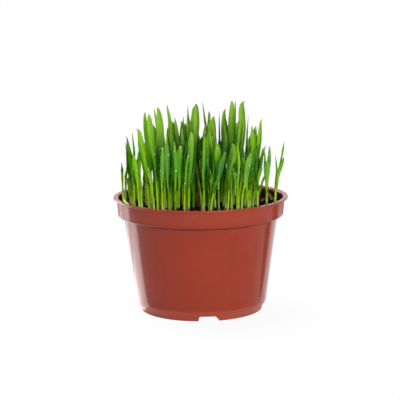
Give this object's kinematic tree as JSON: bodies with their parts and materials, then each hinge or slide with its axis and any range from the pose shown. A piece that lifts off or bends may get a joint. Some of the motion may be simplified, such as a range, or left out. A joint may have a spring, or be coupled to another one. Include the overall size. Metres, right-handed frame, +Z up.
{
  "type": "potted oat grass",
  "caption": "Young oat grass standing densely in peat in a round plastic nursery pot with a stepped collar, a thin rolled-out lip and drain notches in its foot ring.",
  "frame": {"origin": "on the pot's axis, in the plane that its foot ring stands on", "axes": "+Z up along the pot's axis, -Y the front that the grass is seen from, +X to the right"},
  "size_m": [0.12, 0.12, 0.1445],
  "materials": {
    "pot_plastic": "satin",
    "peat": "matte",
    "oat_leaf": "satin",
    "dry_leaf": "matte",
    "bark": "matte",
    "husk": "matte"
  },
  "bodies": {
    "root": {"pot": "pot_plastic", "soil": "peat", "oat_plant_01": "oat_leaf", "oat_plant_02": "oat_leaf", "oat_plant_03": "oat_leaf", "oat_plant_04": "oat_leaf", "oat_plant_05": "oat_leaf", "oat_plant_06": "oat_leaf", "oat_plant_07": "oat_leaf", "oat_plant_08": "oat_leaf", "oat_plant_09": "oat_leaf", "oat_plant_10": "oat_leaf", "oat_plant_11": "oat_leaf", "oat_plant_12": "oat_leaf", "oat_plant_13": "oat_leaf", "oat_plant_14": "oat_leaf", "oat_plant_15": "oat_leaf", "oat_plant_16": "oat_leaf", "oat_plant_17": "oat_leaf", "oat_plant_18": "oat_leaf", "oat_plant_19": "oat_leaf", "oat_plant_20": "oat_leaf", "oat_plant_21": "oat_leaf", "oat_plant_22": "oat_leaf", "oat_plant_23": "oat_leaf", "oat_plant_24": "oat_leaf", "oat_plant_25": "oat_leaf", "oat_plant_26": "oat_leaf", "oat_plant_27": "oat_leaf", "oat_plant_28": "oat_leaf", "oat_plant_29": "oat_leaf", "oat_plant_30": "oat_leaf", "oat_plant_31": "oat_leaf", "oat_plant_32": "oat_leaf", "oat_plant_33": "oat_leaf", "oat_plant_34": "oat_leaf", "oat_plant_35": "oat_leaf", "oat_plant_36": "oat_leaf", "oat_plant_37": "oat_leaf", "oat_plant_38": "oat_leaf", "oat_plant_39": "oat_leaf", "oat_plant_40": "oat_leaf", "oat_plant_41": "oat_leaf", "oat_plant_42": "oat_leaf", "oat_plant_43": "oat_leaf", "oat_plant_44": "oat_leaf", "oat_plant_45": "oat_leaf", "oat_plant_46": "oat_leaf", "oat_plant_47": "oat_leaf", "oat_plant_48": "oat_leaf", "oat_plant_49": "oat_leaf", "oat_plant_50": "oat_leaf", "oat_plant_51": "oat_leaf", "withered_leaf": "dry_leaf", "peat_clod_1": "peat", "peat_clod_2": "peat", "bark_chip_1": "bark", "bark_chip_2": "bark", "oat_husk_1": "husk", "oat_husk_2": "husk"}
  },
  "joints": []
}
